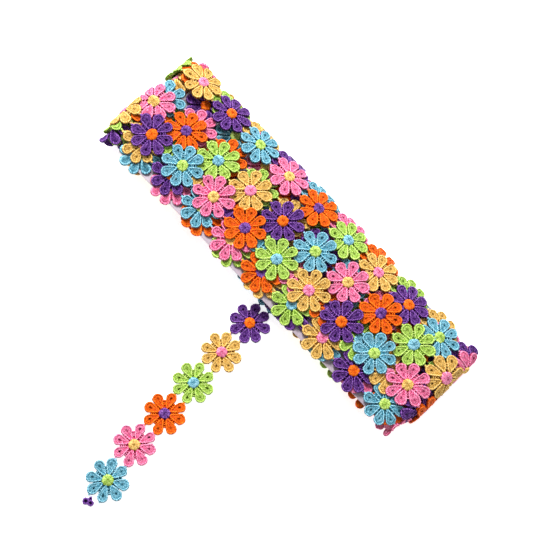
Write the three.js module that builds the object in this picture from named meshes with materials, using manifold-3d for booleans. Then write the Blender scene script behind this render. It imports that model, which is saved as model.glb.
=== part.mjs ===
// A flat roll of daisy-chain guipure lace, wound lengthwise round a card, with one loose end.
// Millimetres, +Z up. X runs along the roll, and the loose end lies towards -Y.
// The origin is at the middle of the roll's flat underside.
import * as THREE from "three";
import { mergeVertices } from "three/addons/utils/BufferGeometryUtils.js";
import Module from "manifold-3d";

const wasm = await Module();
wasm.setup();

// The trim: one flower wide, every flower touching the next at two petal tips.
const PITCH = 25.2;
const LOOSE_PITCH = 23.8;
const PETALS = 8;
const PETAL_STEP = (2 * Math.PI) / PETALS;
const TIP_RADIUS = 3.45;
const TIP_SPREAD = THREE.MathUtils.degToRad(50);
const LOOSE_SPREAD = THREE.MathUtils.degToRad(80);
const TIP_POINTS = 2;
const LOOSE_TIP_POINTS = 4;
const GAP = 0.3;
const JOIN = 0.5;
const VALLEY_RADIUS = 7.4;
const BUTTON_FOOT = 3.5;
const BUTTON_TOP = 2.6;

// Heights above a flower's own base plane.
const RIM_HEIGHT = 1.5;
const VALLEY_HEIGHT = 0.5;
const LEVEL_FACE = 1.6;
const FOOT_HEIGHT = 1.0;
const BUTTON_HEIGHT = 2.2;
const LACE_ROUGHNESS = 0.75;

// The card, and the space kept round it inside the winding.
const CARD_LENGTH = 212;
const CARD_WIDTH = 69;
const CARD_THICKNESS = 1.2;
const CARD_BOTTOM = 9.9;
const CARD_CORNER = 1.5;
const CARD_ROUGHNESS = 0.45;
const CLEARANCE = 0.3;

// The winding runs straight to BEND_START, then turns over the card's short end.
const BEND_START = 110;
const END_REACH = 11;
const CORE_REACH = 10;
const TURN_STEPS = 7;
// How far past BEND_START the rows' flowers go, and how much closer in a covered row turns.
const END_TURN = 19;
const COVERED_END_TURN = 4;
const COVERED_INSET = 1.6;

// How deep a flower's solid reaches below the surface that it lies on.
const SKIRT = 2.4;
const OUTER_SKIRT = 0.9;

// The finish of the joined solid, and how closely its curves are stepped.
const SIMPLIFY = 0.14;
const WELD = 1e-4;
const SECTION_STEPS = 240;
const CORNER_STEPS = 4;
// Longer than the roll, for what is cut off or cut right through.
const WELL_PAST = 400;

// Half cross-sections (y, z) of the surfaces that the flowers lie on, from the -Y edge to the +Y edge.
// Each one is the face of a layer of trim: the last laid, the one before it, and the first on the card.
const OUTER_TOP = [
  [-33, 12.4], [-26, 15.2], [-14, 17.4], [0, 18.9], [8, 19.3], [18, 18.5], [27, 16.4], [34, 13.6], [40, 9.6],
];
const MIDDLE_TOP = [
  [-40, 11.0], [-36, 12.2], [-30, 13.2], [-24, 13.9], [-10, 15.2], [9, 16.2],
  [22, 15.3], [30, 13.4], [35.4, 10.9], [38.6, 7.4], [40.2, 3.4],
];
const INNER_TOP = [[-42, 11.2], [-34, 11.5], [-25, 11.8], [0, 12.8], [25, 11.8], [40, 9.5]];

// The underside, from +Y to -Y: flat where the roll rests, and lifting towards the card's long edges.
const UNDER = [
  [44, 9.4], [38, 5.6], [33, 3.1], [27, 1.9], [20, 1.6],
  [0, 1.6], [-18, 1.6], [-25, 1.9], [-31, 3.3], [-38, 6.6],
];
const UNDER_MIDDLE = [[44, 9.5], [38, 7.4], [30, 4.8], [0, 3.6], [-26, 4.2], [-33, 6.4], [-40, 8.8]];

// The rows that show on top: where the row's middle lies at mid-length, how far it drifts for each
// millimetre along X, where one of its flowers sits, and its surface. "over" names the neighbour that
// it laps over, and "petals" the first petal and the count of those that show on a covered row.
const TOP_ROWS = [
  { name: "first", surface: INNER_TOP, y: -24.3, drift: 0.017, flower: 5.7, petals: [5, 2] },
  { name: "second_low", surface: MIDDLE_TOP, y: -23.7, drift: -0.024, flower: 1.9, petals: [4, 4] },
  { name: "second_mid", surface: MIDDLE_TOP, y: 9.3, drift: 0.030, flower: -9.9, to: -20, petals: [1, 2] },
  { name: "second_high", surface: MIDDLE_TOP, y: 32.0, drift: -0.01, flower: -2.4, petals: [1, 2] },
  { name: "last_high", surface: OUTER_TOP, y: 25.5, drift: -0.032, flower: -2.6 },
  { name: "last_mid", surface: OUTER_TOP, y: 4.4, drift: 0.041, flower: -11.0, over: "last_high" },
  { name: "last_low", surface: OUTER_TOP, y: -14.0, drift: 0.031, flower: 2.6, over: "last_mid" },
];
const LAP_LIFT = 1.7;
const LAP_RAMP = 6.5;

// The rows that show underneath, each crossing from "start" at one short end to "end" at the other.
// "sink" is how far a row's face lies above the surface that the roll rests on.
const UNDER_ROWS = [
  { surface: UNDER_MIDDLE, start: -27, end: -26, flower: 9.6, from: -105, to: 105, petals: [1, 2] },
  { surface: UNDER_MIDDLE, start: 29.5, end: 25, flower: 3.0, from: -105, to: 105, petals: [5, 2] },
  { surface: UNDER, start: 29, end: 9, flower: -4.0, from: -100, to: 100, sink: 0.8 },
  { surface: UNDER, start: 5, end: -5, flower: 0, from: -105, to: 105, sink: 0 },
  { surface: UNDER, start: -19, end: -20, flower: -5.4, from: -110, to: -2, sink: 0.5 },
];

// The body below the flowers: how high and how low it reaches at each place across the roll.
const CORE_STATIONS = [
  { y: -33.4, top: 11.7, bottom: 8.2 },
  { y: -28, top: 13.2, bottom: 4.2 },
  { y: -22, top: 15.9, bottom: 2.0 },
  { y: -14, top: 17.1, bottom: 1.4 },
  { y: 0, top: 18.6, bottom: 1.4 },
  { y: 8, top: 19.0, bottom: 1.4 },
  { y: 18, top: 18.2, bottom: 1.6 },
  { y: 27, top: 16.1, bottom: 2.6 },
  { y: 34, top: 13.2, bottom: 7.6 },
];

// The loose end: flower centres from under the roll outwards, on the surface that the roll stands on.
const LOOSE_FLOWERS = [
  { x: 16.4, y: -23.0 },
  { x: 17.6, y: -46.7 },
  { x: 19.0, y: -70.2 },
  { x: 20.9, y: -93.8 },
  { x: 22.6, y: -117.3 },
  { x: 23.9, y: -141.0 },
  { x: 28.2, y: -164.3 },
];
const LOOSE_BASE = 0.2;
const SCRAP = { x: 29.6, y: -179.4, turn: THREE.MathUtils.degToRad(70), radius: 3.0, length: 3.4 };
const SCRAP_HEIGHT = 1.5;
const RECESS = { width: 26.6, height: 2.9, from: -60, to: -9.6 };

const LACE_PINK = 0xf5729f;
const LACE_PURPLE = 0x6a2fa0;
const CARD_WHITE = 0xeee8ee;

// A cross-section curve, stepped into equal lengths so that a width of trim keeps its width on a slope.
function crossSection(points) {
  const curve = new THREE.CatmullRomCurve3(points.map(([y, z]) => new THREE.Vector3(0, y, z)));
  const spaced = curve.getSpacedPoints(SECTION_STEPS);
  const stepLength = curve.getLength() / SECTION_STEPS;

  function at(arc) {
    const place = THREE.MathUtils.clamp(arc / stepLength, 0, SECTION_STEPS);
    const index = Math.min(Math.floor(place), SECTION_STEPS - 1);
    const start = spaced[index];
    const end = spaced[index + 1];
    const along = new THREE.Vector3().subVectors(end, start).normalize();
    const overrun = arc - place * stepLength;
    const point = new THREE.Vector3().lerpVectors(start, end, place - index).addScaledVector(along, overrun);
    return { y: point.y, z: point.z, normalY: -along.z, normalZ: along.y };
  }

  function arcAt(y) {
    const rising = points[points.length - 1][0] > points[0][0];
    const index = spaced.findIndex((point) => (rising ? point.y >= y : point.y <= y));
    return Math.max(index, 0) * stepLength;
  }

  return { at, arcAt };
}

const sections = new Map();
for (const points of [OUTER_TOP, MIDDLE_TOP, INNER_TOP, UNDER, UNDER_MIDDLE]) {
  sections.set(points, crossSection(points));
}

function heightAt(points, y) {
  const section = sections.get(points);
  return section.at(section.arcAt(y)).z;
}

// A point on the winding, s millimetres along it from mid-length and w off its surface.
// Past BEND_START the surface turns over the end in half an ellipse, towards the underside.
function onWinding(s, y, top, normalY, normalZ, w, reach) {
  const side = Math.sign(s);
  const past = Math.abs(s) - BEND_START;
  if (past <= 0) {
    return new THREE.Vector3(s, y + w * normalY, top + w * normalZ);
  }
  const bottom = heightAt(UNDER, y);
  const middle = (top + bottom) / 2;
  const half = (top - bottom) / 2;
  const turn = past / ((reach + half) / 2);
  const outX = Math.sin(turn) / reach;
  const outZ = Math.cos(turn) / half;
  const length = Math.hypot(outX, outZ);
  const x = BEND_START + reach * Math.sin(turn) + (w * outX) / length;
  const z = middle + half * Math.cos(turn) + (w * outZ) / length;
  return new THREE.Vector3(side * x, y + w * normalY * Math.max(Math.cos(turn), 0), z);
}

function solidFrom(positions, triangles) {
  const geometry = new THREE.BufferGeometry();
  geometry.setAttribute("position", new THREE.Float32BufferAttribute(positions, 3));
  geometry.setIndex(triangles);
  return solidOf(geometry);
}

function solidOf(geometry) {
  geometry.deleteAttribute("normal");
  geometry.deleteAttribute("uv");
  const merged = mergeVertices(geometry, WELD);
  const mesh = new wasm.Mesh({
    numProp: 3,
    vertProperties: new Float32Array(merged.attributes.position.array),
    triVerts: new Uint32Array(merged.index.array),
  });
  return new wasm.Manifold(mesh);
}

function geometryOf(solid) {
  const mesh = solid.getMesh();
  const geometry = new THREE.BufferGeometry();
  geometry.setAttribute("position", new THREE.BufferAttribute(new Float32Array(mesh.vertProperties), 3));
  geometry.setIndex(new THREE.BufferAttribute(new Uint32Array(mesh.triVerts), 1));
  geometry.computeVertexNormals();
  return geometry;
}

// The scalloped edge of a flower, anticlockwise: a valley between two petals, then points round a tip.
function flowerEdge(length, tipPoints, spread) {
  const reach = (length / 2 - TIP_RADIUS) / Math.cos(PETAL_STEP / 2);
  const edge = [];
  for (let petal = 0; petal < PETALS; petal += 1) {
    const valley = petal * PETAL_STEP;
    edge.push({ u: VALLEY_RADIUS * Math.cos(valley), v: VALLEY_RADIUS * Math.sin(valley), w: VALLEY_HEIGHT });
    const axis = valley + PETAL_STEP / 2;
    for (let i = 0; i < tipPoints; i += 1) {
      const turn = axis + spread * ((2 * i) / (tipPoints - 1) - 1);
      edge.push({
        u: reach * Math.cos(axis) + TIP_RADIUS * Math.cos(turn),
        v: reach * Math.sin(axis) + TIP_RADIUS * Math.sin(turn),
        w: RIM_HEIGHT,
      });
    }
  }
  return edge;
}

function ring(radius, w, offset = 0) {
  return Array.from({ length: PETALS }, (_, i) => {
    const angle = i * PETAL_STEP + offset;
    return { u: radius * Math.cos(angle), v: radius * Math.sin(angle), w };
  });
}

function loft(place, points, triangles) {
  return solidFrom(points.flatMap(({ u, v, w }) => place(u, v, w).toArray()), triangles);
}

// One flower as a closed solid: each petal rises from the middle to its tip, round a raised button.
// place(u, v, w) lays its points on whatever the trim is wound or laid on.
function raisedFlower(place, length, depth, tipPoints = TIP_POINTS, spread = TIP_SPREAD) {
  const perPetal = tipPoints + 1;
  const edge = flowerEdge(length, tipPoints, spread);
  const count = edge.length;
  const base = edge.map((point) => ({ ...point, w: -depth }));
  const points = [...edge, ...base, ...ring(BUTTON_FOOT, FOOT_HEIGHT), ...ring(BUTTON_TOP, BUTTON_HEIGHT)];
  points.push({ u: 0, v: 0, w: -depth });
  const foot = 2 * count;
  const button = foot + PETALS;
  const centre = button + PETALS;
  const triangles = [];
  for (let i = 0; i < count; i += 1) {
    const next = (i + 1) % count;
    triangles.push(count + i, count + next, next, count + i, next, i);
    triangles.push(centre, count + next, count + i);
  }
  for (let petal = 0; petal < PETALS; petal += 1) {
    const after = (petal + 1) % PETALS;
    const valley = petal * perPetal;
    const tip = valley + tipPoints / 2;
    for (let i = valley; i < tip; i += 1) {
      triangles.push(foot + petal, i, i + 1);
    }
    triangles.push(foot + petal, tip, foot + after);
    for (let i = tip; i < valley + perPetal; i += 1) {
      triangles.push(foot + after, i, (i + 1) % count);
    }
    triangles.push(foot + petal, foot + after, button + after);
    triangles.push(foot + petal, button + after, button + petal);
    if (petal > 0 && petal < PETALS - 1) {
      triangles.push(button, button + petal, button + petal + 1);
    }
  }
  return loft(place, points, triangles);
}

// A level fan of petals, for rows that are mostly covered and for the underside: all eight, or the
// few from "first" on that show at the edge of the roll.
function levelPetals(place, length, depth, face, first = 0, count = PETALS) {
  const perPetal = TIP_POINTS + 1;
  const whole = count === PETALS;
  const edge = flowerEdge(length, TIP_POINTS, TIP_SPREAD);
  const outline = Array.from({ length: count * perPetal + (whole ? 0 : 1) }, (_, i) => (
    edge[(first * perPetal + i) % edge.length]
  ));
  if (!whole) {
    outline.push({ u: 0, v: 0 });
  }
  const size = outline.length;
  const points = [face, -depth].flatMap((w) => outline.map(({ u, v }) => ({ u, v, w })));
  const flat = outline.map(({ u, v }) => new THREE.Vector2(u, v));
  const triangles = [];
  for (const [a, b, c] of THREE.ShapeUtils.triangulateShape(flat, [])) {
    triangles.push(a, b, c, size + a, size + c, size + b);
  }
  for (let i = 0; i < size; i += 1) {
    const next = (i + 1) % size;
    triangles.push(size + i, size + next, next, size + i, next, i);
  }
  return loft(place, points, triangles);
}

// The middles of a row's flowers between two limits along it, one of them being at "known".
function flowerPlaces(known, from, to) {
  const first = known - PITCH * Math.floor((known - from) / PITCH);
  const count = Math.floor((to - first) / PITCH) + 1;
  return Array.from({ length: count }, (_, i) => first + i * PITCH);
}

// How far a row rides up where it laps over its neighbour.
function lapLift(row, x, y) {
  const below = TOP_ROWS.find((other) => other.name === row.over);
  if (!below) {
    return 0;
  }
  const edge = below.y + below.drift * x - PITCH / 2;
  return LAP_LIFT * THREE.MathUtils.smoothstep(y, edge - LAP_RAMP / 2, edge + LAP_RAMP / 2);
}

function topFlowers(row) {
  const section = sections.get(row.surface);
  const reach = row.surface === OUTER_TOP ? END_REACH : END_REACH - COVERED_INSET;
  const furthest = BEND_START + (row.petals ? COVERED_END_TURN : END_TURN);
  const flowers = [];
  for (const s of flowerPlaces(row.flower, -furthest, row.to ?? furthest)) {
    const place = (u, v, w) => {
      const along = s + u;
      const x = THREE.MathUtils.clamp(along, -BEND_START, BEND_START);
      const middle = section.arcAt(row.y + row.drift * x);
      const spot = section.at(middle + v);
      const lift = w > 0 ? lapLift(row, x, spot.y) : 0;
      return onWinding(along, spot.y, spot.z + lift, spot.normalY, spot.normalZ, w, reach);
    };
    flowers.push(
      row.petals
        ? levelPetals(place, PITCH - GAP, SKIRT, LEVEL_FACE, ...row.petals)
        : raisedFlower(place, PITCH - GAP, OUTER_SKIRT),
    );
  }
  return flowers;
}

function underFlowers(row) {
  const section = sections.get(row.surface);
  const flowers = [];
  for (const s of flowerPlaces(row.flower, row.from, row.to)) {
    const place = (u, v, w) => {
      const x = s + u;
      const share = (x + BEND_START) / (2 * BEND_START);
      const middle = section.arcAt(THREE.MathUtils.lerp(row.start, row.end, share));
      const spot = section.at(middle + v);
      return new THREE.Vector3(x, spot.y - w * Math.abs(spot.normalY), spot.z - w * Math.abs(spot.normalZ));
    };
    const face = LEVEL_FACE - (row.sink ?? 0);
    flowers.push(levelPetals(place, PITCH - GAP, OUTER_SKIRT, face, ...(row.petals ?? [])));
  }
  return flowers;
}

// The body of the winding: a closed loop round the card's short ends, crowned across its width.
function windingCore() {
  const loops = CORE_STATIONS.map(({ y, top, bottom }) => {
    const loop = [];
    const middle = (top + bottom) / 2;
    const half = (top - bottom) / 2;
    for (const side of [1, -1]) {
      for (let i = 0; i <= TURN_STEPS; i += 1) {
        const turn = (Math.PI * i) / TURN_STEPS;
        const x = BEND_START + CORE_REACH * Math.sin(turn);
        loop.push([side * x, y, middle + side * half * Math.cos(turn)]);
      }
    }
    return loop;
  });
  const around = loops[0].length;
  const positions = loops.flat(2);
  const triangles = [];
  for (let station = 0; station < loops.length - 1; station += 1) {
    for (let i = 0; i < around; i += 1) {
      const next = (i + 1) % around;
      const here = station * around;
      const there = here + around;
      triangles.push(here + i, there + next, there + i, here + i, here + next, there + next);
    }
  }
  const last = (loops.length - 1) * around;
  for (let i = 1; i < around - 1; i += 1) {
    triangles.push(0, i + 1, i);
    triangles.push(last, last + i, last + i + 1);
  }
  return solidFrom(positions, triangles);
}

function box(sizeX, sizeY, sizeZ, x, y, z) {
  const geometry = new THREE.BoxGeometry(sizeX, sizeY, sizeZ);
  geometry.translate(x, y, z);
  return solidOf(geometry);
}

function union(solids) {
  return solids.reduce((sum, solid) => sum.add(solid));
}

// Keeps the outer skin alone, which fills any air that the laps shut in between the rows.
function outerSkin(solid) {
  const { vertProperties, triVerts } = solid.getMesh();
  const group = Array.from({ length: vertProperties.length / 3 }, (_, i) => i);
  const rootOf = (vertex) => {
    let root = vertex;
    while (group[root] !== root) {
      group[root] = group[group[root]];
      root = group[root];
    }
    return root;
  };
  for (let i = 0; i < triVerts.length; i += 3) {
    group[rootOf(triVerts[i + 1])] = rootOf(triVerts[i]);
    group[rootOf(triVerts[i + 2])] = rootOf(triVerts[i]);
  }
  const skins = new Map();
  for (let i = 0; i < triVerts.length; i += 3) {
    const root = rootOf(triVerts[i]);
    skins.set(root, [...(skins.get(root) ?? []), triVerts[i], triVerts[i + 1], triVerts[i + 2]]);
  }
  const largest = [...skins.values()].sort((a, b) => b.length - a.length)[0];
  return solidFrom(vertProperties, largest);
}

function woundLace() {
  const flowers = [...TOP_ROWS.flatMap(topFlowers), ...UNDER_ROWS.flatMap(underFlowers)];
  const slot = box(
    CARD_LENGTH + 2 * CLEARANCE, WELL_PAST, CARD_THICKNESS + 2 * CLEARANCE,
    0, 0, CARD_BOTTOM + CARD_THICKNESS / 2,
  );
  const recess = box(
    RECESS.width, RECESS.to - RECESS.from, RECESS.height * 2,
    LOOSE_FLOWERS[0].x, (RECESS.to + RECESS.from) / 2, 0,
  );
  const floor = box(WELL_PAST, WELL_PAST, WELL_PAST, 0, 0, -WELL_PAST / 2);
  const winding = union([windingCore(), ...flowers]);
  const cut = winding.subtract(slot).subtract(recess).subtract(floor);
  const solid = outerSkin(cut.asOriginal().simplify(SIMPLIFY));
  return new THREE.Mesh(
    geometryOf(solid),
    new THREE.MeshStandardMaterial({ color: LACE_PINK, roughness: LACE_ROUGHNESS, metalness: 0 }),
  );
}

function card() {
  const outline = new THREE.Shape();
  const halfLength = CARD_LENGTH / 2;
  const halfWidth = CARD_WIDTH / 2;
  const signs = [[1, -1], [1, 1], [-1, 1], [-1, -1]];
  signs.forEach(([signX, signY], i) => {
    const startAngle = -Math.PI / 2 + (i * Math.PI) / 2;
    const centreX = signX * (halfLength - CARD_CORNER);
    const centreY = signY * (halfWidth - CARD_CORNER);
    outline.absarc(centreX, centreY, CARD_CORNER, startAngle, startAngle + Math.PI / 2, false);
  });
  const geometry = new THREE.ExtrudeGeometry(outline, {
    depth: CARD_THICKNESS,
    bevelEnabled: false,
    curveSegments: CORNER_STEPS,
  });
  geometry.translate(0, 0, CARD_BOTTOM);
  return new THREE.Mesh(
    geometryOf(solidOf(geometry)),
    new THREE.MeshStandardMaterial({ color: CARD_WHITE, roughness: CARD_ROUGHNESS, metalness: 0 }),
  );
}

// The loose end lies flat: one chain of flowers, and the scrap of petals left where it was cut.
function looseEnd() {
  const flowers = LOOSE_FLOWERS.map(({ x, y }, i) => {
    const before = LOOSE_FLOWERS[Math.max(i - 1, 0)];
    const after = LOOSE_FLOWERS[Math.min(i + 1, LOOSE_FLOWERS.length - 1)];
    const heading = Math.atan2(after.y - before.y, after.x - before.x);
    const place = (u, v, w) => new THREE.Vector3(
      x + u * Math.cos(heading) - v * Math.sin(heading),
      y + u * Math.sin(heading) + v * Math.cos(heading),
      Math.max(LOOSE_BASE + w, 0),
    );
    return raisedFlower(place, LOOSE_PITCH + JOIN, LOOSE_BASE + 0.01, LOOSE_TIP_POINTS, LOOSE_SPREAD);
  });
  const petal = new THREE.CapsuleGeometry(SCRAP.radius, SCRAP.length, 2, 8);
  petal.rotateZ(SCRAP.turn);
  petal.translate(SCRAP.x, SCRAP.y, 0);
  const slice = box(PITCH, PITCH, SCRAP_HEIGHT, SCRAP.x, SCRAP.y, SCRAP_HEIGHT / 2);
  const scrap = solidOf(petal).intersect(slice);
  return new THREE.Mesh(
    geometryOf(union([...flowers, scrap])),
    new THREE.MeshStandardMaterial({ color: LACE_PURPLE, roughness: LACE_ROUGHNESS, metalness: 0 }),
  );
}

function named(name, mesh) {
  mesh.name = name;
  return mesh;
}

const roll = new THREE.Group();
roll.add(named("wound_lace", woundLace()));
roll.add(named("card", card()));
roll.add(named("loose_end", looseEnd()));

export default roll;
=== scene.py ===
# %% [markdown]
# # A flat roll of guipure lace
#
# Guipure, or chemical lace, is stitched on a film that is washed away afterwards, so only thread is
# left. This trim is a chain of daisies in six thread colours. It is wound lengthwise round a white
# card in three layers, three or four rows side by side, and its outer end lies loose on the table.
#
# The solids of the card and of the winding are already made. This lesson dresses them: one petal is
# shaped first, eight of them make a flower, and the flowers are laid along the winding turn by turn.

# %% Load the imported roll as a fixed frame
import bisect
import math
import random

import bmesh
import bpy
from mathutils import Matrix, Vector, geometry, noise


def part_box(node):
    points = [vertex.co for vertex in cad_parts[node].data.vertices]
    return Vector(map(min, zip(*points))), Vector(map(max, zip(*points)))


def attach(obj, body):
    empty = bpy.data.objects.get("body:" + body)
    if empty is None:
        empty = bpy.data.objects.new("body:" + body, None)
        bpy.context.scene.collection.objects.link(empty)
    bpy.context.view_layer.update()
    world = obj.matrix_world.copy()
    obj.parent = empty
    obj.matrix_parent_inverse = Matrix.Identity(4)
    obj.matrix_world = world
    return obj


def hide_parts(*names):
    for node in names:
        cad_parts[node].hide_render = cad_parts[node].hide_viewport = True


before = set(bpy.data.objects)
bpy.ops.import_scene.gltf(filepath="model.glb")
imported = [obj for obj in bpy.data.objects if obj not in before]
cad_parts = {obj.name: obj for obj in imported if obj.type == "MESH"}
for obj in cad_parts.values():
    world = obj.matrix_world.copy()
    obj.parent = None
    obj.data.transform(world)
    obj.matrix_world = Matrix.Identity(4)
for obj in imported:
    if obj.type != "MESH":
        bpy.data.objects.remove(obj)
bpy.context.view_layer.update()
MM = 0.001
RANDOM_SEED = 11
NOISE_SEED = 11
random.seed(RANDOM_SEED)
noise.seed_set(NOISE_SEED)

card_low, card_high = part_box("card")
CARD_HALF_LENGTH = card_high.x / MM
print("card", [round((b - a) / MM, 1) for a, b in zip(card_low, card_high)], "mm")

# %% [markdown]
# ## The camera
#
# The photograph looks down on the table, 18 degrees off straight down and from two thirds of a metre.
# The camera is turned about its own axis, so that the roll runs from the upper left to the lower right.
# A camera's matrix is its right, up and backward directions, and they come from two cross products.

# %% Camera
CAMERA_TARGET = Vector((12.0, -18.6, 10.0)) * MM
CAMERA_DISTANCE = 680 * MM
CAMERA_TILT = math.radians(18.0)
CAMERA_BEARING = math.radians(-72.0)
DOWN_THE_PICTURE = math.radians(135.5)
FRAME_PIXELS = 560
FOCAL_PIXELS = 1195
SENSOR_WIDTH = 36.0


def add_camera():
    """A camera that looks at the roll as the photograph does."""
    flat = math.sin(CAMERA_TILT)
    backward = Vector((
        flat * math.cos(CAMERA_BEARING), flat * math.sin(CAMERA_BEARING), math.cos(CAMERA_TILT),
    ))
    heading = Vector((math.cos(DOWN_THE_PICTURE), math.sin(DOWN_THE_PICTURE), 0.0))
    right = (-backward).cross(heading).normalized()
    up = right.cross(-backward)
    data = bpy.data.cameras.new("camera")
    data.sensor_width = SENSOR_WIDTH
    data.lens = SENSOR_WIDTH * FOCAL_PIXELS / FRAME_PIXELS
    camera = bpy.data.objects.new("camera", data)
    turned = Matrix((right, up, backward)).transposed().to_4x4()
    camera.matrix_world = Matrix.Translation(CAMERA_TARGET + backward * CAMERA_DISTANCE) @ turned
    bpy.context.scene.collection.objects.link(camera)
    bpy.context.scene.camera = camera
    return camera


camera = add_camera()
print("camera at", [round(x / MM) for x in camera.matrix_world.translation], "mm")

# %% [markdown]
# ## Polyester embroidery thread
#
# The trim is trilobal polyester embroidery thread, which is extruded with a three-sided section, so it
# shines softly like satin. Each petal's rim is satin stitch: threads laid side by side across a core,
# a third of a millimetre apart. At this distance that is finer than a pixel, so the stitches are drawn
# two and a half times as coarse. Every flower mesh carries two things that its material reads: a UV map
# "stitch", in millimetres round a petal and outwards from its pit, and an attribute of painted light and
# shade, which is high on top of a rim, a painted highlight, and falls towards 0 in a gap or a pit,
# painted shade, with a little random tone added to it.

# %% Colours and nodes
# Each thread's main colour is its own. Its gap and deep colours are painted shade for gaps, grooves and
# pits, and its lightest colour is a painted highlight for the tops of the rims.
THREADS = [
    {"name": "purple", "gap": "#0e001c", "deep": "#28034a", "main": "#541a7c", "painted_highlight": "#a070c4"},
    {"name": "blue", "gap": "#04202c", "deep": "#28748c", "main": "#66b0c8", "painted_highlight": "#b4e4f2"},
    {"name": "pink", "gap": "#4c0420", "deep": "#d23a6c", "main": "#f47aa8", "painted_highlight": "#ffb6d4"},
    {"name": "orange", "gap": "#4a0c00", "deep": "#ce3c00", "main": "#f66200", "painted_highlight": "#ff8c24"},
    {"name": "lime", "gap": "#182a04", "deep": "#6e9c22", "main": "#b0d654", "painted_highlight": "#daf094"},
    {"name": "tan", "gap": "#341c04", "deep": "#bb822a", "main": "#e8b85a", "painted_highlight": "#fddc92"},
]
STITCH_SPACING_MM = 0.85
STREAK_WIDTH_MM = 0.6
STREAK_LENGTH_MM = 2.2
FIBRE_GRAIN_MM = 0.55
STITCH_RELIEF = 0.25 * MM
TONE_SHARE = 1.45
STITCH_WAVER = 3.0
THREAD_ROUND_SHARE = 0.22
TONE_STOPS = {"gap": 0.0, "deep": 0.26, "main": 0.58, "painted_highlight": 1.0}
THREAD_ROUGHNESS = 0.5
THREAD_IOR = 1.5
THREAD_SPECULAR = 0.12


def linear(code):
    """An sRGB hex colour as linear red, green, blue and alpha."""
    shares = [int(code[i:i + 2], 16) / 255 for i in (1, 3, 5)]
    return [c / 12.92 if c <= 0.04045 else ((c + 0.055) / 1.055) ** 2.4 for c in shares] + [1.0]


def node(tree, kind, settings=None, links=None):
    """Adds one node, sets its properties and its inputs, and links its inputs to other sockets."""
    made = tree.nodes.new(kind)
    for key, value in (settings or {}).items():
        if isinstance(key, str) and hasattr(made, key):
            setattr(made, key, value)
        else:
            made.inputs[key].default_value = value
    for key, socket in (links or {}).items():
        tree.links.new(socket, made.inputs[key])
    return made


def new_material(name):
    """An empty node material with its output and a Principled shader."""
    material = bpy.data.materials.new(name)
    material.use_nodes = True
    tree = material.node_tree
    return material, tree, tree.nodes["Principled BSDF"]


def ramp(tree, factor, stops):
    """A colour ramp from (position, hex colour) stops."""
    made = node(tree, "ShaderNodeValToRGB", links={"Fac": factor})
    elements = made.color_ramp.elements
    while len(elements) < len(stops):
        elements.new(0.5)
    for element, (position, code) in zip(elements, stops):
        element.position = position
        element.color = linear(code)
    return made.outputs["Color"]


def thread_material(thread):
    """Satin-stitched polyester thread of one colour."""
    material, tree, shader = new_material("polyester_thread_" + thread["name"])
    stitch = node(tree, "ShaderNodeUVMap", {"uv_map": "stitch"}).outputs["UV"]
    drawn_out = node(
        tree, "ShaderNodeMapping",
        {"Scale": (1 / STREAK_WIDTH_MM, 1 / STREAK_LENGTH_MM, 1.0)}, {"Vector": stitch},
    ).outputs["Vector"]
    streaks = node(
        tree, "ShaderNodeTexNoise", {"Scale": 1.0, "Detail": 2.0, "Roughness": 0.6}, {"Vector": drawn_out},
    ).outputs["Fac"]
    place = node(tree, "ShaderNodeTexCoord").outputs["Object"]
    grain = node(
        tree, "ShaderNodeTexNoise",
        {"Scale": 1 / (FIBRE_GRAIN_MM * MM), "Detail": 2.0, "Roughness": 0.65}, {"Vector": place},
    ).outputs["Fac"]
    round_rim = node(tree, "ShaderNodeSeparateXYZ", links={0: stitch}).outputs["X"]
    waver = node(tree, "ShaderNodeMath", {"operation": "MULTIPLY", 1: STITCH_WAVER}, {0: grain}).outputs[0]
    turns = node(
        tree, "ShaderNodeMath", {"operation": "MULTIPLY_ADD", 1: 2 * math.pi / STITCH_SPACING_MM},
        {0: round_rim, 2: waver},
    ).outputs[0]
    thread_round = node(tree, "ShaderNodeMath", {"operation": "SINE"}, {0: turns}).outputs[0]
    fibres = node(tree, "ShaderNodeMath", {"operation": "ADD"}, {0: streaks, 1: grain}).outputs[0]
    relief = node(
        tree, "ShaderNodeMath",
        {"operation": "MULTIPLY_ADD", 1: THREAD_ROUND_SHARE}, {0: thread_round, 2: fibres},
    ).outputs[0]
    # The stitch relief also shifts the colour: painted shade low between the stitches, painted light on
    # their tops, and random fibre tone.
    shift = node(
        tree, "ShaderNodeMath", {"operation": "MULTIPLY_ADD", 1: TONE_SHARE, 2: -TONE_SHARE}, {0: relief},
    ).outputs[0]
    # The mesh's painted light and shade is added to that.
    painted_light_and_tone = node(tree, "ShaderNodeAttribute", {"attribute_name": "painted_light_and_tone"}).outputs["Fac"]
    tone = node(
        tree, "ShaderNodeMath", {"operation": "ADD", "use_clamp": True}, {0: painted_light_and_tone, 1: shift},
    ).outputs[0]
    # The tone runs from the painted gap shade through the painted deep shade and the thread's own colour to
    # a painted highlight.
    colour = ramp(tree, tone, [(stop, thread[shade]) for shade, stop in TONE_STOPS.items()])
    bump = node(
        tree, "ShaderNodeBump", {"Strength": 1.0, "Distance": STITCH_RELIEF}, {"Height": relief},
    ).outputs["Normal"]
    tree.links.new(colour, shader.inputs["Base Color"])
    tree.links.new(bump, shader.inputs["Normal"])
    shader.inputs["Roughness"].default_value = THREAD_ROUGHNESS
    shader.inputs["IOR"].default_value = THREAD_IOR
    shader.inputs["Specular IOR Level"].default_value = THREAD_SPECULAR
    return material


thread_materials = [thread_material(thread) for thread in THREADS]
print("threads:", ", ".join(material.name for material in thread_materials))

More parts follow.
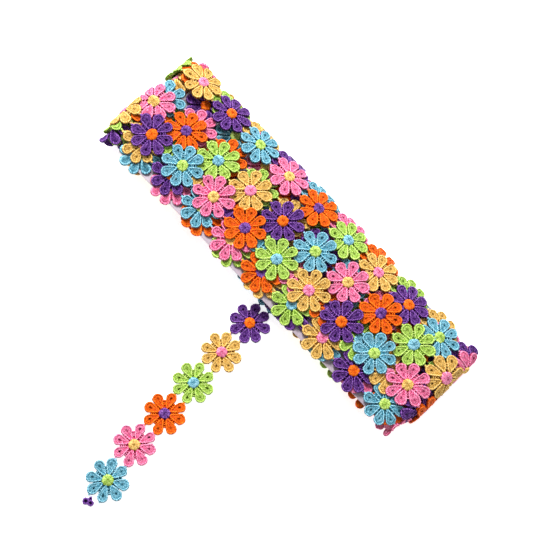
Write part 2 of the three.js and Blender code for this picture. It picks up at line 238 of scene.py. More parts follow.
# %% [markdown]
# ## One petal
#
# A petal is a teardrop with a raised, satin-stitched rim, a narrow groove inside the rim, a hollow
# filled with flatter stitches, and a small pit of varying depth where the needle turned. A circle becomes
# the teardrop: its outer half stays round and its inner half is drawn out to the flower's middle. The
# circle's face is then extruded again and again, each time scaled towards the pit, so that the rings
# climb the rim, dip into the groove and cross the hollow. Each ring in the table has its scale, its
# height and its crest value, the painted light and shade: a painted highlight on top of the rim, painted
# shade at the foot, in the groove and in the pit. A shorter table makes plainer petals for the layers
# that hardly show.

# %% Petal
PETALS = 8
PETAL_STEP = 2 * math.pi / PETALS
TIP_RADIUS = 3.2
TIP_CENTRE = 9.55
INNER_END = 2.2
TAPER = 0.55
PIT_PLACE = 9.1

GRADES = {
    "close": {
        "petal_steps": 36,
        "button_steps": 26,
        "gap_bars": (5.0, 6.3, 7.6),
        "rings": [
            (1.01, 0.45, 0.00), (0.99, 0.95, 0.12), (0.94, 1.32, 0.54), (0.86, 1.50, 0.78),
            (0.78, 1.42, 0.68), (0.70, 1.18, 0.48), (0.64, 1.02, 0.34), (0.56, 1.08, 0.44),
            (0.44, 1.14, 0.54), (0.32, 1.12, 0.50),
        ],
    },
    "covered": {
        "petal_steps": 20,
        "button_steps": 14,
        "gap_bars": (6.2,),
        "rings": [
            (1.00, 0.70, 0.08), (0.90, 1.46, 0.78), (0.75, 1.36, 0.58), (0.65, 0.96, 0.18),
            (0.50, 1.08, 0.52), (0.18, 1.04, 0.44), (0.08, 0.60, 0.05),
        ],
    },
    "deep": {
        "petal_steps": 12,
        "button_steps": 8,
        "gap_bars": (),
        "rings": [(1.00, 1.10, 0.35), (0.82, 1.48, 0.75), (0.60, 1.00, 0.40)],
    },
}
STITCH_RIDGES = 18
RIDGE_SHARE = 0.05
EDGE_UNEVEN = 0.022
CREST_UNEVEN = 0.16
# Painted light and shade of a petal's foot, a middle tone.
FOOT_PAINTED_LIGHT = 0.45
PIT_ALONG = (-0.5, 0.4)
PIT_ACROSS = (-0.3, 0.3)
PIT_SIZES = (0.12, 0.21)
PIT_DEPTHS = (0.15, 0.4, 0.75, 1.0)
PETAL_LENGTHS = (0.965, 1.02)
PETAL_WIDTHS = (0.94, 1.05)
LEAN_DEGREES = (-2.5, 2.5)
RISE_DEGREES = (-0.8, 2.2)


def teardrop(turn):
    """A point of the petal's outline, for a turn round its wide end."""
    along = math.cos(turn)
    across = TIP_RADIUS * math.sin(turn)
    if along >= 0:
        return Vector((TIP_CENTRE + TIP_RADIUS * along, across, 0.0))
    return Vector((TIP_CENTRE + (TIP_CENTRE - INNER_END) * along, across * (1 + TAPER * along), 0.0))


def climb(bm, foot, centre, rings):
    """Extrudes a flat face through (scale, height, painted light and shade) rings round a centre, keeping
    it as the foot.
    """
    painted_light_and_tone = bm.verts.layers.float["painted_light_and_tone"]
    # The foot and then each ring are given their painted light and shade.
    for vert in foot.verts:
        vert[painted_light_and_tone] = FOOT_PAINTED_LIGHT
    scale_now = 1.0
    height_now = 0.0
    face = foot
    for scale, height, painted_light_value in rings:
        grown = bmesh.ops.extrude_face_region(bm, geom=[face])["geom"]
        if face is not foot:
            bm.faces.remove(face)
        face = next(part for part in grown if isinstance(part, bmesh.types.BMFace))
        verts = list(face.verts)
        factor = scale / scale_now
        bmesh.ops.scale(bm, vec=(factor, factor, 1.0), space=Matrix.Translation(-centre), verts=verts)
        bmesh.ops.translate(bm, vec=(0.0, 0.0, height - height_now), verts=verts)
        for vert in verts:
            vert[painted_light_and_tone] = painted_light_value
        scale_now, height_now = scale, height


def write_stitches(bm, faces, centre, rim_length):
    """Writes the stitch map of some faces: millimetres round the centre, and distance from it."""
    stitch = bm.loops.layers.uv["stitch"]
    for face in faces:
        turns = [math.atan2(loop.vert.co.y - centre.y, loop.vert.co.x - centre.x) for loop in face.loops]
        wraps = max(turns) - min(turns) > math.pi
        for loop, turn in zip(face.loops, turns):
            turn += 2 * math.pi if wraps and turn < 0 else 0.0
            reach = (loop.vert.co - centre).length
            loop[stitch].uv = (turn / (2 * math.pi) * rim_length, reach)


def add_petal(bm, grade, axis):
    """One petal whose tip points along the given direction, a little uneven as stitching is."""
    before = set(bm.verts)
    circle = bmesh.ops.create_circle(bm, cap_ends=True, segments=grade["petal_steps"], radius=1.0)
    pit = Vector((PIT_PLACE + random.uniform(*PIT_ALONG), random.uniform(*PIT_ACROSS), 0.0))
    for vert in circle["verts"]:
        vert.co = teardrop(math.atan2(vert.co.y, vert.co.x))
        vert.co += (vert.co - pit) * random.uniform(-EDGE_UNEVEN, EDGE_UNEVEN)
    rings = list(grade["rings"])
    if grade is GRADES["close"]:
        size = random.uniform(*PIT_SIZES)
        sunk = random.choice(PIT_DEPTHS)
        # A deeper pit is painted darker: painted shade.
        rings += [
            (size + 0.05, 1.06, 0.50), (size, 1.0 - 0.1 * sunk, 0.48 - 0.3 * sunk),
            (size * 0.6, 1.0 - 0.8 * sunk, 0.46 - 0.46 * sunk),
        ]
    climb(bm, circle["verts"][0].link_faces[0], pit, rings)
    verts = [vert for vert in bm.verts if vert not in before]
    faces = {face for vert in verts for face in vert.link_faces}
    write_stitches(bm, faces, pit, 2 * math.pi * TIP_RADIUS)
    ridges = random.uniform(0.0, 2 * math.pi)
    painted_light_and_tone = bm.verts.layers.float["painted_light_and_tone"]
    for vert in verts:
        vert[painted_light_and_tone] += random.uniform(-CREST_UNEVEN, CREST_UNEVEN)
        turn = math.atan2(vert.co.y - pit.y, vert.co.x - pit.x)
        vert.co.z *= 1.0 + RIDGE_SHARE * math.sin(turn * STITCH_RIDGES + ridges)
    stretch = (random.uniform(*PETAL_LENGTHS), random.uniform(*PETAL_WIDTHS), 1.0)
    bmesh.ops.scale(bm, vec=stretch, verts=verts)
    lean = math.radians(random.uniform(*LEAN_DEGREES))
    rise = math.radians(random.uniform(*RISE_DEGREES))
    bmesh.ops.rotate(bm, matrix=Matrix.Rotation(-rise, 3, "Y"), verts=verts)
    bmesh.ops.rotate(bm, matrix=Matrix.Rotation(axis + lean, 3, "Z"), verts=verts)


# %% [markdown]
# ## One flower
#
# Eight petals stand round a raised button of piled-up stitches in another colour. A thin web of
# thread lies behind them and fills the gaps; it is coloured with the near-black painted shade of a gap.
# Short bars cross those gaps, and on both sides along the trim a pair of thicker bars holds the next
# flower; all the bars are painted a little darker than the petals, as shade. No two stitched flowers
# are quite alike, so a soft noise moves every point a little, and three different flowers of each grade
# are made, to be picked from.

# %% Flower
BUTTON_RADIUS = 3.3
# The third value of each button ring is painted light and shade: darker at its foot, lighter on top.
BUTTON_RINGS = [
    (1.04, 0.9, 0.30), (1.0, 1.5, 0.55), (0.90, 1.95, 0.62), (0.74, 2.2, 0.68), (0.56, 2.35, 0.60),
    (0.36, 2.4, 0.66), (0.16, 2.38, 0.52),
]
BUTTON_RINGS_PLAIN = [(1.0, 1.4, 0.45), (0.75, 2.1, 0.65), (0.3, 2.35, 0.6)]
BUTTON_GRAIN = 0.28
BUTTON_EDGE = (-0.06, 0.07)
BUTTON_PILE = 0.09
BUTTON_TOP_FROM = 1.0
PLAIN_BUTTON_STEPS = 10
WEB_RADIUS = 8.2
WEB_STEPS = 24
WEB_HEIGHT = 0.35
BAR_RADIUS = 0.24
BAR_LENGTH = 1.9
BAR_HEIGHT = 0.85
BAR_SIDES = 6
# Bars are painted a little darker than a petal's own colour: painted shade in the gaps.
BAR_PAINTED_SHADE = 0.42
BAR_SHIFT = (-0.3, 0.3)
JOIN_RADIUS = 0.58
JOIN_LENGTH = 1.5
JOIN_HEIGHT = 0.55
JOIN_INSET = 0.6
PITCH = 25.2
BUTTON_SLOT = 1
COARSE_UNEVEN = 0.22
COARSE_SCALE = 0.35
FINE_UNEVEN = 0.09
FINE_SCALE = 1.4


def add_button(bm, grade):
    """The raised middle of the flower, with rough edges where its stitches catch the petals."""
    steps = grade["button_steps"]
    before = set(bm.verts)
    circle = bmesh.ops.create_circle(bm, cap_ends=True, segments=steps, radius=BUTTON_RADIUS)
    for vert in circle["verts"]:
        vert.co *= 1.0 + random.uniform(*BUTTON_EDGE)
    rings = BUTTON_RINGS if steps > PLAIN_BUTTON_STEPS else BUTTON_RINGS_PLAIN
    climb(bm, circle["verts"][0].link_faces[0], Vector(), rings)
    verts = [vert for vert in bm.verts if vert not in before]
    faces = {face for vert in verts for face in vert.link_faces}
    for face in faces:
        face.material_index = BUTTON_SLOT
    write_stitches(bm, faces, Vector(), 2 * math.pi * BUTTON_RADIUS)
    painted_light_and_tone = bm.verts.layers.float["painted_light_and_tone"]
    for vert in verts:
        # A random grain lifts points on top of the button and lightens them: random tone, and painted light
        # where a point is raised.
        grain = random.uniform(-1.0, 1.0)
        vert.co.z += BUTTON_PILE * grain if vert.co.z > BUTTON_TOP_FROM else 0.0
        vert[painted_light_and_tone] += BUTTON_GRAIN * grain


def add_bar(bm, place, direction, radius, length):
    """A short stitched bar across a gap."""
    bar = bmesh.ops.create_cone(
        bm, cap_ends=True, segments=BAR_SIDES, radius1=radius, radius2=radius, depth=length,
        matrix=Matrix.Translation(place) @ direction.to_track_quat("Z", "Y").to_matrix().to_4x4(),
    )
    painted_light_and_tone = bm.verts.layers.float["painted_light_and_tone"]
    for vert in bar["verts"]:
        vert[painted_light_and_tone] = BAR_PAINTED_SHADE


def new_lace():
    """An empty mesh with the layers that every piece of lace has."""
    bm = bmesh.new()
    bm.loops.layers.uv.new("stitch")
    bm.verts.layers.float.new("painted_light_and_tone")
    return bm


def petal_part(grade):
    """The eight petals."""
    bm = new_lace()
    for petal in range(PETALS):
        add_petal(bm, grade, (petal + 0.5) * PETAL_STEP)
    return bm


def middle_part(grade):
    """The button, the web under it, and the bars between petals and to the next flowers."""
    bm = new_lace()
    add_button(bm, grade)
    web = bmesh.ops.create_circle(bm, cap_ends=True, segments=WEB_STEPS, radius=WEB_RADIUS)
    # The web's top is painted in the near-black gap shade.
    climb(bm, web["verts"][0].link_faces[0], Vector(), [(1.0, WEB_HEIGHT, 0.0)])
    for reach in grade["gap_bars"]:
        for gap in range(PETALS):
            turn = gap * PETAL_STEP
            out = Vector((math.cos(turn), math.sin(turn), 0.0))
            place = out * (reach + random.uniform(*BAR_SHIFT)) + Vector((0.0, 0.0, BAR_HEIGHT))
            add_bar(bm, place, Vector((-out.y, out.x, 0.0)), BAR_RADIUS, BAR_LENGTH)
    if grade["gap_bars"]:
        join_y = TIP_CENTRE * math.sin(PETAL_STEP / 2)
        for side in (-1, 1):
            for edge in (-1, 1):
                place = Vector((side * (PITCH / 2 - JOIN_INSET), edge * join_y, JOIN_HEIGHT))
                add_bar(bm, place, Vector((1.0, 0.0, 0.0)), JOIN_RADIUS, JOIN_LENGTH)
    return bm


def flower_mesh(bm, name, seed):
    """Roughens a part of a flower and keeps it as a mesh, in millimetres, flat on its own plane."""
    for vert in bm.verts:
        coarse = noise.noise_vector(vert.co * COARSE_SCALE + Vector((seed, 0.0, 0.0)))
        fine = noise.noise_vector(vert.co * FINE_SCALE + Vector((0.0, seed, 0.0)))
        vert.co += coarse * COARSE_UNEVEN + fine * FINE_UNEVEN
    bmesh.ops.recalc_face_normals(bm, faces=bm.faces)
    for face in bm.faces:
        face.smooth = True
    mesh = bpy.data.meshes.new(name)
    bm.to_mesh(mesh)
    bm.free()
    return mesh


VARIANTS = 3
VARIANT_STEP = 3.7
flowers = {}
for grade_name, grade in GRADES.items():
    flowers[grade_name] = [
        (
            flower_mesh(petal_part(grade), f"{grade_name}_petals_{i}", VARIANT_STEP * (i + 1)),
            flower_mesh(middle_part(grade), f"{grade_name}_middle_{i}", VARIANT_STEP * (i + 1)),
        )
        for i in range(VARIANTS)
    ]
    count = sum(len(p.vertices) - 2 for part in flowers[grade_name][0] for p in part.polygons)
    print(grade_name, "flower:", count, "triangles")

# %% [markdown]
# ## The surfaces that the trim lies on
#
# Cut across, the winding is a flat oval: crowned on top, where three rows share the width of the card,
# and flat underneath, where its weight rests. Each layer of the winding gets one curve across the top
# and one underneath. A curve goes through a few (y, z) points in millimetres, and is then measured by
# its own length, so that the trim keeps its width where the surface slopes.

# %% Cross-sections of the winding
LAYERS = {
    "outer": {
        "reach": 11.0,
        "top": [
            (-33, 12.4), (-26, 15.2), (-14, 17.4), (0, 18.9), (8, 19.3), (18, 18.5), (27, 16.4), (34, 13.6),
            (40, 9.6), (44, 5.0),
        ],
        "under": [
            (-38, 6.6), (-31, 3.3), (-25, 1.9), (-18, 1.6), (0, 1.6), (20, 1.6), (27, 1.9), (33, 3.1),
            (38, 5.6), (44, 9.4),
        ],
    },
    "middle": {
        "reach": 9.4,
        "top": [
            (-40, 10.9), (-36, 11.8), (-30, 13.0), (-24, 13.9), (-10, 15.2), (9, 16.2), (22, 15.3),
            (30, 13.4), (35.4, 10.9), (38.6, 7.4), (40.2, 3.4),
        ],
        "under": [
            (-40, 8.8), (-33, 6.4), (-26, 4.2), (0, 3.6), (30, 4.8), (38, 7.4), (44, 9.5),
        ],
    },
    "inner": {
        "reach": 7.6,
        "top": [(-42, 11.2), (-34, 11.5), (-25, 11.8), (0, 12.8), (25, 11.8), (40, 9.5)],
        "under": [(-42, 9.4), (-30, 7.4), (0, 6.2), (30, 7.4), (40, 9.0)],
    },
}
CURVE_STEPS = 12


class Section:
    """A smooth curve through (y, z) points, measured by its length from the -Y end."""

    def __init__(self, points, outward):
        knots = [Vector((y, z, 0.0)) for y, z in points]
        ends = [2 * knots[0] - knots[1], 2 * knots[-1] - knots[-2]]
        knots = [ends[0], *knots, ends[1]]
        self.line = [knots[1]]
        for before, start, end, after in zip(knots, knots[1:], knots[2:], knots[3:]):
            handles = start + (end - before) / 6, end - (after - start) / 6
            self.line += geometry.interpolate_bezier(start, *handles, end, CURVE_STEPS)[1:]
        self.lengths = [0.0]
        for start, end in zip(self.line, self.line[1:]):
            self.lengths.append(self.lengths[-1] + (end - start).length)
        self.crossings = [point.x for point in self.line]
        self.outward = outward

    def arc_at(self, y):
        """The length along the curve at which it passes y."""
        i = min(max(bisect.bisect_left(self.crossings, y), 1), len(self.line) - 1)
        start, end = self.line[i - 1], self.line[i]
        share = (y - start.x) / (end.x - start.x)
        return self.lengths[i - 1] + share * (self.lengths[i] - self.lengths[i - 1])

    def height_at(self, y):
        """The height at which the curve passes y."""
        i = min(max(bisect.bisect_left(self.crossings, y), 1), len(self.line) - 1)
        start, end = self.line[i - 1], self.line[i]
        return start.y + (y - start.x) / (end.x - start.x) * (end.y - start.y)

    def at(self, arc):
        """The (y, z) point and the outward normal at a length along the curve, past its ends too."""
        i = min(max(bisect.bisect_left(self.lengths, arc), 1), len(self.line) - 1)
        start, end = self.line[i - 1], self.line[i]
        along = (end - start).normalized()
        point = start + along * (arc - self.lengths[i - 1])
        return point.x, point.y, -along.y * self.outward, along.x * self.outward


for layer in LAYERS.values():
    layer["top"] = Section(layer["top"], 1)
    layer["under"] = Section(layer["under"], -1)
print("outer layer is", round(LAYERS["outer"]["top"].lengths[-1], 1), "mm wide over its crown")

# %% [markdown]
# ## The turns of the winding
#
# The trim runs along the top, over the card's short end, back underneath and up again, one row further
# across. Each turn is a row on top, with the run that follows it underneath, apart from the innermost,
# whose run is hidden and isn't laid beyond its bends. A path is given by where
# its middle lies at the two short ends and at mid-length. The colours run in one order along the whole
# trim, so one known flower and its colour settle a row. The outermost turn comes first in the table.
# The trim is drawn in a little where it goes over the corner at +X on the loose end's side.

# %% Turns
TURNS = [
    {"name": "front", "layer": "outer", "y": (-15.6, -14.0, -10.1), "flower": 2.9, "pitch": 25.35,
     "colour": 4, "over": "crown", "under_layer": "outer", "under_y": (-0.9, -5.5, -10.1), "sink": 0.0},
    {"name": "crown", "layer": "outer", "y": (-0.9, 4.4, 8.6), "flower": -10.7, "pitch": 25.4,
     "colour": 0, "over": "back", "under_layer": "outer", "under_y": (27.5, 19.5, 8.6), "sink": 0.6},
    {"name": "back", "layer": "outer", "y": (30.1, 25.3, 22.4), "flower": -2.6, "pitch": 25.2,
     "colour": 3, "over": None, "under_layer": "middle", "under_y": (30.5, 26.5, 22.4), "sink": 0.0},
    {"name": "back_below", "layer": "middle", "y": (33.0, 31.0, 26.5), "flower": -6.5, "pitch": 25.2,
     "colour": 1, "over": None, "under_layer": "inner", "under_y": (5.8, 18.0, 26.5), "sink": 0.0},
    {"name": "crown_below", "layer": "middle", "y": (5.8, 9.6, 12.5), "flower": -9.9, "pitch": 25.2,
     "colour": 5, "over": None, "under_layer": "inner", "under_y": (-5.0, 4.0, 12.5), "sink": 0.0},
    {"name": "front_below", "layer": "middle", "y": (-5.0, -9.0, -13.0), "flower": -8.0, "pitch": 25.2,
     "colour": 1, "over": "edge", "under_layer": "inner", "under_y": (-21.6, -17.5, -13.0), "sink": 0.0},
    {"name": "edge", "layer": "middle", "y": (-21.6, -24.4, -26.4), "flower": 2.0, "pitch": 25.3,
     "colour": 3, "over": None, "under_layer": "middle", "under_y": (-25.0, -22.7, -26.4), "sink": 0.0},
    {"name": "edge_first", "layer": "inner", "y": (-27.6, -25.2, -22.6), "flower": 5.7, "pitch": 25.2,
     "colour": 5, "over": None, "under_layer": "inner", "under_y": (-1.0, -12.0, -22.6), "sink": 0.0},
    {"name": "crown_first", "layer": "inner", "y": (-1.0, 0.5, 2.0), "flower": 0.0, "pitch": 25.2,
     "colour": 2, "over": None, "under_layer": "inner", "under_y": (22.0, 12.0, 2.0), "sink": 0.0},
    {"name": "back_first", "layer": "inner", "y": (22.0, 22.0, 22.0), "flower": 8.0, "pitch": 25.2,
     "colour": 4, "over": None, "under_layer": "inner", "under_y": (22.0, 22.0, 22.0), "sink": 0.0},
]
TO_LOOSE_END = {"under_layer": "outer", "under_y": (-15.6, -19.0, -23.0), "sink": 0.4}
TURN_NAMED = {turn["name"]: turn for turn in TURNS}
PAST_CARD = 4.0
STRAIGHT = CARD_HALF_LENGTH + PAST_CARD
LAP_LIFT = 1.7
LAP_RAMP = 6.5
LAST_ON_TOP = 133.0
ROW_REACH = 13.0
ROW_EASE = 3.0
OPEN_ROOM = 9.0
CLEARANCE = 0.2
LEAST_THICKNESS = 0.35
LOWEST = 0.03
BEND_HEADROOM = 1.35
UNDER_HEADROOM = 1.9
UNDER_PITCH = 23.8
CORNER_PULL = 3.5
CORNER_FROM = 17.0
CORNER_TO = 31.0
LOOSE_ROOM = {"x": 16.4, "half_width": 15.0, "y": -9.0, "foot": 4.4, "ease": 2.0}
GRADE_ON_TOP = {"outer": "close", "middle": "covered", "inner": "deep"}
GRADE_UNDER = {"outer": "covered", "middle": "covered", "inner": "deep"}
for i, turn in enumerate(TURNS):
    turn["wound_over"] = TURNS[:i]


def path_y(path, x):
    """Where a path given at -X, at mid-length and at +X lies across the roll at x."""
    start, middle, end = path
    share = min(max(x / STRAIGHT, -1.0), 1.0)
    return middle + share * (end - start) / 2 + share * share * ((end + start) / 2 - middle)


def smoothstep(value, low, high):
    """Rises smoothly from 0 at low to 1 at high."""
    share = min(max((value - low) / (high - low), 0.0), 1.0)
    return share * share * (3 - 2 * share)


def lap_lift(turn, s, y):
    """How far a row rides up where it laps over the row beside it."""
    if turn["over"] is None:
        return 0.0
    neighbour = path_y(TURN_NAMED[turn["over"]]["y"], s)
    side = math.copysign(1.0, neighbour - path_y(turn["y"], s))
    edge = neighbour - side * PITCH / 2
    return LAP_LIFT * smoothstep(side * (y - edge), -LAP_RAMP / 2, LAP_RAMP / 2)


def headroom(turn, s, y, foot):
    """How thick the trim can be at (s, y) before it meets the rows wound over it."""
    room = OPEN_ROOM
    for over in turn["wound_over"]:
        if abs(y - path_y(over["y"], s)) < ROW_REACH:
            over_foot = LAYERS[over["layer"]]["top"].height_at(y) + lap_lift(over, s, y)
            room = min(room, over_foot - foot - CLEARANCE)
    return max(room, LEAST_THICKNESS)


def bend_length(turn, run, side):
    """How much trim the bend over one short end takes, from a row on top to a run underneath."""
    layer = LAYERS[turn["layer"]]
    top = layer["top"].height_at(path_y(turn["y"], side * STRAIGHT))
    under = LAYERS[run["under_layer"]]["under"].height_at(path_y(run["under_y"], side * STRAIGHT))
    return math.pi / 2 * (layer["reach"] + (top - under) / 2)


def under_point(run, x, v, w):
    """A point of the trim underneath the roll, off its surface downwards, clear of the loose end."""
    section = LAYERS[run["under_layer"]]["under"]
    y, z, normal_y, normal_z = section.at(section.arc_at(path_y(run["under_y"], x)) + v)
    covered = 0.0
    if run["sink"] > 0:
        front = path_y(TURNS[0]["under_y"], x)
        covered = smoothstep(ROW_REACH - abs(y - front), 0.0, ROW_EASE)
    z += run["sink"] + covered
    ease = LOOSE_ROOM["ease"]
    beside = smoothstep(LOOSE_ROOM["half_width"] - abs(x - LOOSE_ROOM["x"]), 0.0, ROW_EASE)
    z += beside * smoothstep(LOOSE_ROOM["y"] - y, -ease, ease) * max(LOOSE_ROOM["foot"] - z, 0.0)
    w = min(w, UNDER_HEADROOM)
    return y + w * normal_y, z + w * normal_z


def on_turn(turn, run, t, v, w):
    """A point of the trim: t along the turn from mid-length, v across it and w off its surface.
    Past a short end it goes over to the run underneath."""
    layer = LAYERS[turn["layer"]]
    side = 1.0 if t >= 0 else -1.0
    past = abs(t) - STRAIGHT
    bend = bend_length(turn, run, side)
    if past >= bend:
        x = side * (STRAIGHT - past + bend)
        y, z = under_point(run, x, v, w)
        return Vector((x, y, max(z, LOWEST)))
    s = t if past <= 0 else side * STRAIGHT
    y, z, normal_y, normal_z = layer["top"].at(layer["top"].arc_at(path_y(turn["y"], s)) + v)
    z += lap_lift(turn, s, y)
    w = min(w, headroom(turn, s, y, z))
    if past <= 0:
        return Vector((t, y + w * normal_y, z + w * normal_z))
    if turn["layer"] != "outer":
        w = min(w, BEND_HEADROOM)
    under_y, under_z = under_point(run, side * STRAIGHT, v, 0.0)
    turned = math.pi * past / bend
    half = (z - under_z) / 2
    reach = layer["reach"]
    if side > 0:
        reach -= CORNER_PULL * smoothstep(-y, CORNER_FROM, CORNER_TO)
    out_x = math.sin(turned) / reach
    out_z = math.cos(turned) / half
    length = math.hypot(out_x, out_z)
    x = STRAIGHT + reach * math.sin(turned) + w * out_x / length
    height = (z + under_z) / 2 + half * math.cos(turned) + w * out_z / length
    across = y + (under_y - y) * (1 - math.cos(turned)) / 2 + w * normal_y * max(math.cos(turned), 0.0)
    return Vector((side * x, across, max(height, LOWEST)))


# %% [markdown]
# ## Laying the flowers
#
# A run of flowers is one mesh, because a maker's trim is one piece too. Each flower is a copy of one of
# the three stitched ones, turned end for end now and then, a touch larger or smaller, and every point of
# it is carried to its place on the turn. Its petals take one thread and its button the thread three
# colours on, which is how this trim is dyed. Extrusion makes faces in no fixed order, so a finished
# run has them sorted by their points, and the script gives the same meshes each time.

# %% Lay flowers
COLOUR_COUNT = len(THREADS)
BUTTON_COLOUR_STEP = 3
MOST_POINTS = 100000
LAID_DEGREES = (-2.0, 2.0)
LAID_SIZES = (0.98, 1.01)


def lay_flower(targets, grade_name, place, colour, squeeze=1.0, size=1.0):
    """Adds one flower, its petals and its middle each to their mesh, carried by place(u, v, w)."""
    turn = random.choice((0.0, math.pi)) + math.radians(random.uniform(*LAID_DEGREES))
    size *= random.uniform(*LAID_SIZES)
    along, across = size * math.cos(turn), size * math.sin(turn)
    for bm, part in zip(targets, random.choice(flowers[grade_name])):
        first_vert, first_face = len(bm.verts), len(bm.faces)
        bm.from_mesh(part)
        bm.verts.ensure_lookup_table()
        bm.faces.ensure_lookup_table()
        for vert in bm.verts[first_vert:]:
            u, v, w = vert.co
            vert.co = place((u * along - v * across) * squeeze, u * across + v * along, w) * MM
        for face in bm.faces[first_face:]:
            step = BUTTON_COLOUR_STEP if face.material_index == BUTTON_SLOT else 0
            face.material_index = (colour + step) % COLOUR_COUNT


def face_rank(face):
    """A number that tells the faces of a run apart by their points."""
    places = sorted(vert.index for vert in face.verts)
    return (places[0] * MOST_POINTS + places[-1]) * MOST_POINTS + places[1]


def finish_piece(bm, name, node_name):
    """Turns a laid run into an object with the six threads, riding on the roll."""
    bm.verts.index_update()
    bm.faces.sort(key=face_rank)
    mesh = bpy.data.meshes.new(name)
    for material in thread_materials:
        mesh.materials.append(material)
    bm.to_mesh(mesh)
    bm.free()
    piece = bpy.data.objects.new(name, mesh)
    bpy.context.scene.collection.objects.link(piece)
    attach(piece, "root")
    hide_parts(node_name)
    print(name, sum(len(polygon.vertices) - 2 for polygon in mesh.polygons), "triangles")
    return piece


def top_places(turn):
    """Where the flowers of a top row sit along it, with their colours."""
    first = math.ceil((-LAST_ON_TOP - turn["flower"]) / turn["pitch"])
    last = math.floor((LAST_ON_TOP - turn["flower"]) / turn["pitch"])
    return [(turn["flower"] + i * turn["pitch"], turn["colour"] + i) for i in range(first, last + 1)]


def lay_top(turn, run_before):
    """The row of a turn that lies on top."""
    bm = new_lace()
    for s, colour in top_places(turn):
        run = turn if s > 0 else run_before
        lay_flower(
            (bm, bm), GRADE_ON_TOP[turn["layer"]],
            lambda u, v, w: on_turn(turn, run, s + u, v, w), colour, turn["pitch"] / PITCH,
        )
    return finish_piece(bm, "lace_" + turn["name"], "wound_lace")


def lay_under(turn, after):
    """The run that goes round the end and back underneath, to where the next row starts."""
    bm = new_lace()
    start, colour = top_places(turn)[-1]
    end = top_places(after)[0][0]
    down, up = bend_length(turn, turn, 1), bend_length(after, turn, -1)
    path = 4 * STRAIGHT + down + up
    count = round((path + end - start) / UNDER_PITCH)
    pitch = (path + end - start) / count
    for i in range(1, count):
        t = start + i * pitch
        owner = turn
        if t > 2 * STRAIGHT + down:
            owner, t = after, t - path
        lay_flower(
            (bm, bm), GRADE_UNDER[turn["under_layer"]],
            lambda u, v, w: on_turn(owner, turn, t + u, v, w), colour + i, pitch / PITCH,
        )
    return finish_piece(bm, "lace_under_" + turn["name"], "wound_lace")


LAST_FLOWERS = 5


def lay_last_run():
    """The outermost run underneath, from the first row back to where the loose end turns out."""
    bm = new_lace()
    start, colour = top_places(TURNS[0])[0]
    for i in range(1, LAST_FLOWERS + 1):
        t = start - i * UNDER_PITCH
        lay_flower(
            (bm, bm), "covered",
            lambda u, v, w: on_turn(TURNS[0], TO_LOOSE_END, t + u, v, w), colour - i, UNDER_PITCH / PITCH,
        )
    return finish_piece(bm, "lace_under_last", "wound_lace")


lay_last_run()
run_before = TO_LOOSE_END
for turn, after in zip(TURNS, TURNS[1:] + [None]):
    lay_top(turn, run_before)
    if after:
        lay_under(turn, after)
    run_before = turn

# %% [markdown]
# ## The loose end
#
# The last stretch of trim comes out from under the roll and lies flat on the table, face up. It is laid
# flower by flower on the line that it takes, and ends in a scrap of the purple flower it was cut from.

# %% Loose end
LOOSE_FLOWERS = [
    {"x": 16.4, "y": -23.0, "colour": 1},
    {"x": 17.6, "y": -46.7, "colour": 0},
    {"x": 19.0, "y": -70.2, "colour": 5},
    {"x": 20.9, "y": -93.8, "colour": 4},
    {"x": 22.6, "y": -117.3, "colour": 3},
    {"x": 23.9, "y": -141.0, "colour": 2},
    {"x": 28.2, "y": -164.3, "colour": 1},
]
LOOSE_SIZE = 0.955
SCRAP = [
    {"x": 30.9, "y": -179.0, "radius": 1.7},
    {"x": 28.3, "y": -180.2, "radius": 1.9},
    {"x": 29.2, "y": -177.6, "radius": 1.2},
]
# Like a petal's rings: scale, height, and painted light and shade.
SCRAP_RINGS = [(1.05, 0.5, 0.3), (0.95, 1.1, 0.7), (0.7, 1.3, 0.7), (0.45, 1.0, 0.3), (0.25, 0.5, 0.0)]
SCRAP_STEPS = 14
SCRAP_UNEVEN = 0.2
LOOSE_BASE = 0.2
LOOSE_LOWEST = 0.05


def add_curl(bm, x, y, radius):
    """One curl of the cut purple flower, a small ring of thread."""
    before = set(bm.verts)
    circle = bmesh.ops.create_circle(
        bm, cap_ends=True, segments=SCRAP_STEPS, radius=radius,
        matrix=Matrix.Translation((x, y, LOOSE_BASE)),
    )
    for vert in circle["verts"]:
        vert.co.x += random.uniform(-SCRAP_UNEVEN, SCRAP_UNEVEN)
        vert.co.y += random.uniform(-SCRAP_UNEVEN, SCRAP_UNEVEN)
    climb(bm, circle["verts"][0].link_faces[0], Vector((x, y, 0.0)), SCRAP_RINGS)
    verts = [vert for vert in bm.verts if vert not in before]
    faces = {face for vert in verts for face in vert.link_faces}
    write_stitches(bm, faces, Vector((x, y, 0.0)), 2 * math.pi * radius)
    bmesh.ops.recalc_face_normals(bm, faces=list(faces))
    for face in faces:
        face.smooth = True
    for vert in verts:
        vert.co *= MM


def lay_loose_end():
    """The loose stretch of trim, flat on the table: its petals, and the middles worked on them."""
    petals, middles = new_lace(), new_lace()
    for i, here in enumerate(LOOSE_FLOWERS):
        before = LOOSE_FLOWERS[max(i - 1, 0)]
        after = LOOSE_FLOWERS[min(i + 1, len(LOOSE_FLOWERS) - 1)]
        heading = math.atan2(after["y"] - before["y"], after["x"] - before["x"])
        cos, sin = math.cos(heading), math.sin(heading)
        lay_flower(
            (petals, middles), "close",
            lambda u, v, w: Vector((
                here["x"] + u * cos - v * sin,
                here["y"] + u * sin + v * cos,
                max(LOOSE_BASE + w, LOOSE_LOWEST),
            )),
            here["colour"], size=LOOSE_SIZE,
        )
    for curl in SCRAP:
        add_curl(middles, curl["x"], curl["y"], curl["radius"])
    sheet = finish_piece(petals, "lace_loose_end", "loose_end")
    worked = finish_piece(middles, "lace_loose_middles", "loose_end")
    return sheet, worked


loose_end, loose_middles = lay_loose_end()

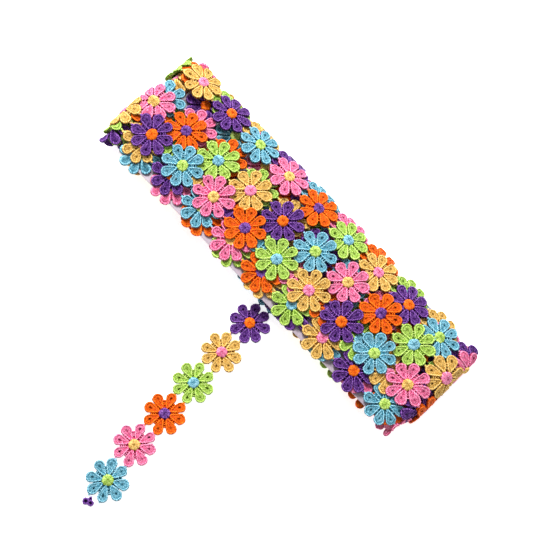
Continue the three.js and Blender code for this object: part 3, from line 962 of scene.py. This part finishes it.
# %% [markdown]
# ## The card
#
# The card is coated white paperboard: wood pulp pressed smooth, with a clay coating that gives a soft
# shine. Its solid has the right shape already, so it only gets this finish. Its white is painted as a
# lilac grey: painted shade where it lies under the winding, and a painted reflection of the lilac light
# that the flowers throw back.

# %% Card
# Lilac greys of painted shade and painted reflection, varied by the pulp noise.
CARD_PAINTED_SHADE_TONES = [(0.35, "#9f919d"), (0.65, "#afa1ad")]
CARD_ROUGHNESS = 0.35
PULP_SCALE = 900.0
PULP_STRENGTH = 0.25
PULP_DEPTH = 0.05 * MM


def paperboard():
    """Coated white paperboard with a faint unevenness, coloured lilac grey as painted shade and reflection.
    """
    material, tree, shader = new_material("coated_paperboard")
    place = node(tree, "ShaderNodeTexCoord").outputs["Object"]
    pulp = node(
        tree, "ShaderNodeTexNoise", {"Scale": PULP_SCALE, "Detail": 4.0}, {"Vector": place},
    ).outputs["Fac"]
    colour = ramp(tree, pulp, CARD_PAINTED_SHADE_TONES)
    bump = node(
        tree, "ShaderNodeBump", {"Strength": PULP_STRENGTH, "Distance": PULP_DEPTH}, {"Height": pulp},
    ).outputs["Normal"]
    tree.links.new(colour, shader.inputs["Base Color"])
    tree.links.new(bump, shader.inputs["Normal"])
    shader.inputs["Roughness"].default_value = CARD_ROUGHNESS
    return material


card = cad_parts["card"]
card.data.materials.clear()
card.data.materials.append(paperboard())
print("card wears", card.data.materials[0].name)

# %% [markdown]
# ## Table and light
#
# The photograph was taken on white, with soft light all round and a little more from above. A plain
# white table, a pale sky and one large lamp do the same: the sky fills the shadows, and the lamp is big
# enough that they stay soft. The table glows a little, so that it stays white where the roll shades it.

# %% Table, sky and lamp
TABLE_GLOW = 0.68
TABLE_SIZE = 2.0
TABLE_ROUGHNESS = 0.9
LAMP_PLACE = (-0.8, 0.45, 1.05)
LAMP_SIZE = 0.5
LAMP_WATTS = 32.0
SKY_STRENGTH = 0.5
WHITE = (1.0, 1.0, 1.0, 1.0)


def add_table():
    """A plain white surface under the roll."""
    bm = bmesh.new()
    bmesh.ops.create_grid(bm, x_segments=1, y_segments=1, size=TABLE_SIZE)
    mesh = bpy.data.meshes.new("table")
    bm.to_mesh(mesh)
    bm.free()
    material, tree, shader = new_material("matt_white_board")
    shader.inputs["Base Color"].default_value = linear("#fbfbfb")
    shader.inputs["Roughness"].default_value = TABLE_ROUGHNESS
    shader.inputs["Emission Color"].default_value = WHITE
    shader.inputs["Emission Strength"].default_value = TABLE_GLOW
    mesh.materials.append(material)
    table = bpy.data.objects.new("table", mesh)
    bpy.context.scene.collection.objects.link(table)


def add_lamp(name, place, size, watts):
    """A square soft lamp that points at the middle of the roll."""
    data = bpy.data.lights.new(name, "AREA")
    data.size = size
    data.energy = watts
    lamp = bpy.data.objects.new(name, data)
    lamp.location = place
    lamp.rotation_euler = (CAMERA_TARGET - Vector(place)).to_track_quat("-Z", "Y").to_euler()
    bpy.context.scene.collection.objects.link(lamp)


add_table()
add_lamp("main_lamp", LAMP_PLACE, LAMP_SIZE, LAMP_WATTS)
world = bpy.data.worlds.new("pale_sky")
world.use_nodes = True
world.node_tree.nodes["Background"].inputs["Color"].default_value = WHITE
world.node_tree.nodes["Background"].inputs["Strength"].default_value = SKY_STRENGTH
bpy.context.scene.world = world
bpy.context.scene.view_settings.view_transform = "Standard"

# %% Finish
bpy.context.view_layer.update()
